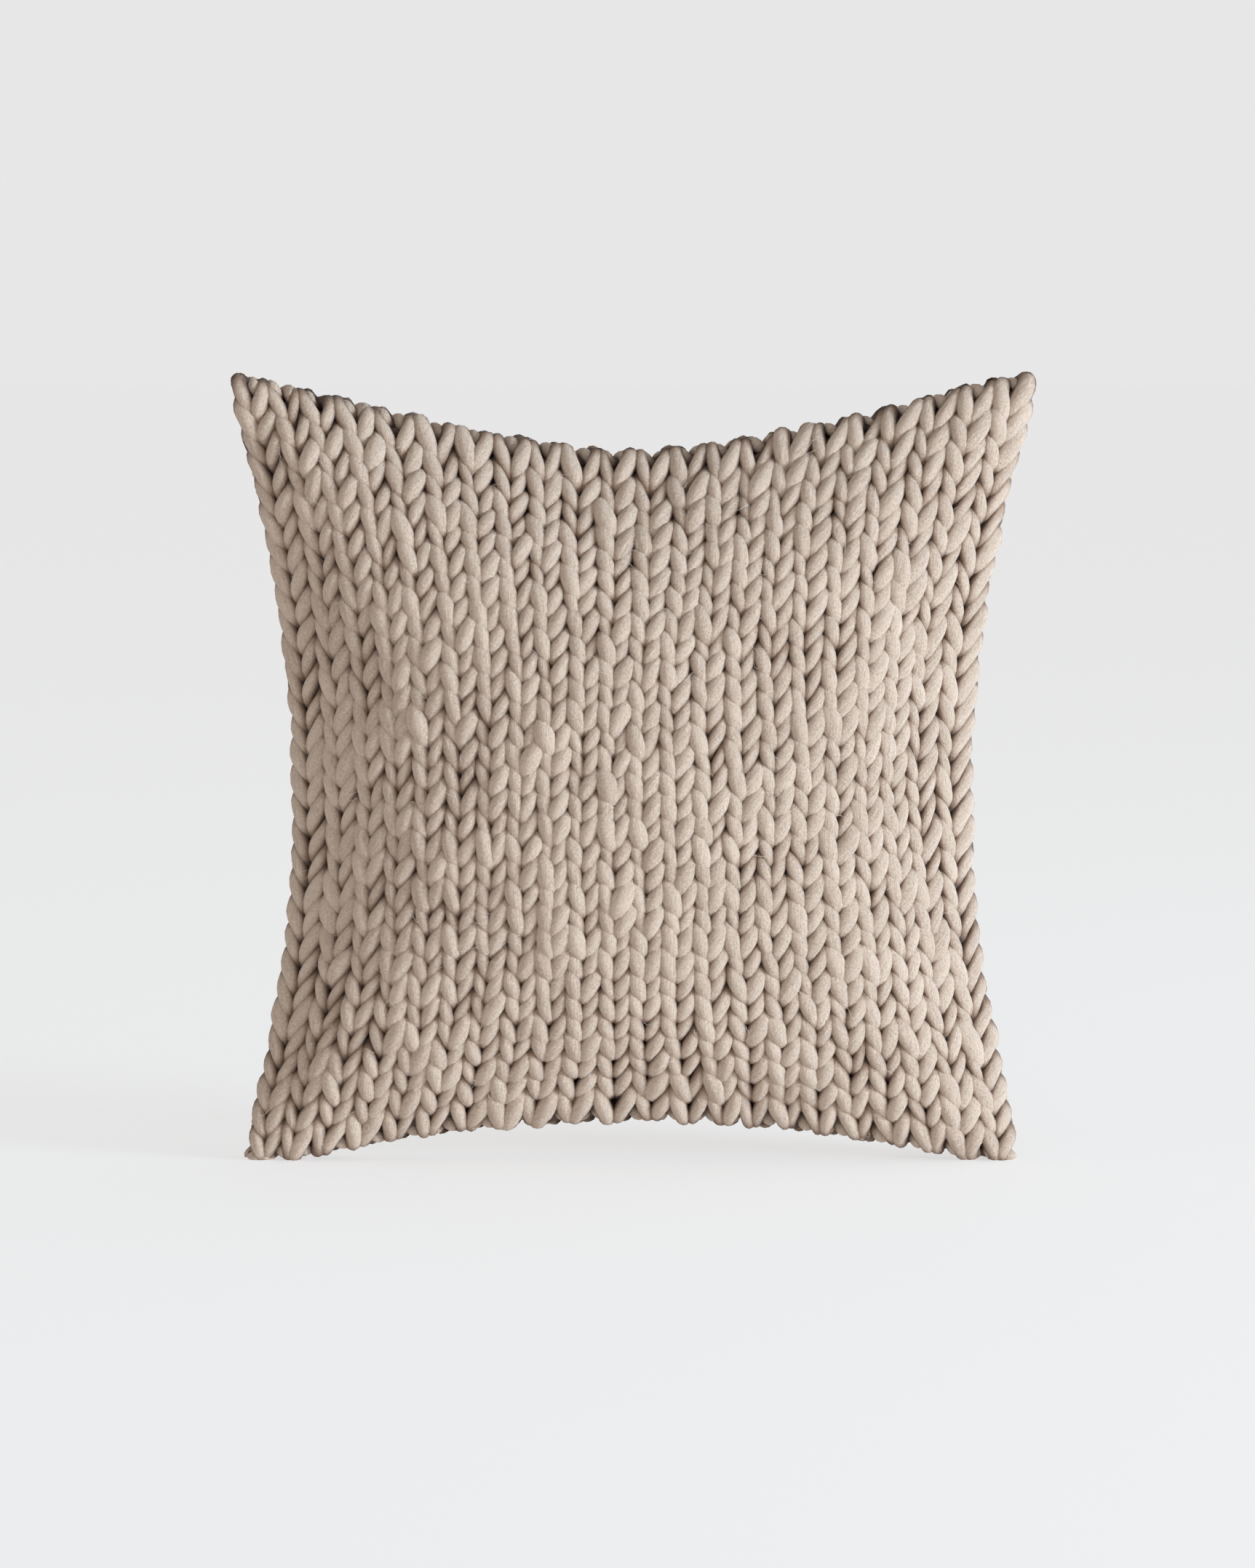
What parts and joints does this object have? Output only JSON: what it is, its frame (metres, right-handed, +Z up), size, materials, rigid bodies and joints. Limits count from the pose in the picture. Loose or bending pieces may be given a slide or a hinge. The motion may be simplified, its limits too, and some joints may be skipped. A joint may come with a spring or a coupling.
{
  "type": "throw pillow",
  "caption": "Square stuffed pillow in a chunky stockinette knit cover with raised corners, a lined back with a coil zip, and a separate insert.",
  "frame": {"origin": "on the floor, under the middle of the pillow standing on its two lower corners", "axes": "+Z up, -Y out of the front face, +X to the right seen from the front"},
  "size_m": [0.494, 0.1666, 0.479],
  "materials": {
    "knit": "matte felted wool yarn, oatmeal cream",
    "seam_yarn": "matte wool yarn",
    "lining": "plain woven cotton, beige",
    "casing": "plain woven cotton, off-white",
    "filling": "white polyester fibre",
    "zip_tape": "twill woven polyester, beige",
    "zip_coil": "satin nylon coil",
    "thread": "spun polyester thread",
    "zip_metal": "dull nickel plate"
  },
  "bodies": {
    "root": {"front_knit_panel": "knit", "back_knit_panel": "knit", "back_knit_band": "knit", "joining_seam_yarn": "seam_yarn", "front_lining": "lining", "back_lining": "lining", "insert_front_casing": "casing", "insert_back_casing": "casing", "insert_sewn_edge": "casing", "insert_filling": "filling", "zip_tape_upper": "zip_tape", "zip_tape_lower": "zip_tape", "zip_coil_upper": "zip_coil", "zip_coil_lower": "zip_coil", "zip_sewing_thread": "thread", "zip_top_stops": "zip_metal", "zip_bottom_stop": "zip_metal"},
    "slider": {"zip_slider_body": "zip_metal", "zip_slider_bail": "zip_metal"},
    "pull": {"zip_pull_tab": "zip_metal"}
  },
  "joints": [
    {"name": "zip_travel", "type": "hinge", "parent": "root", "child": "slider", "pos_m": [0, -0.34373, -0.34331], "axis": [0, 0.7207, -0.6933], "range_deg": [0, 28.1]},
    {"name": "pull_swing", "type": "hinge", "parent": "slider", "child": "pull", "pos_m": [-0.13787, 0.03765, 0.05411], "axis": [-0.236, 0.4842, 0.8425], "range_deg": [0, 180]}
  ]
}
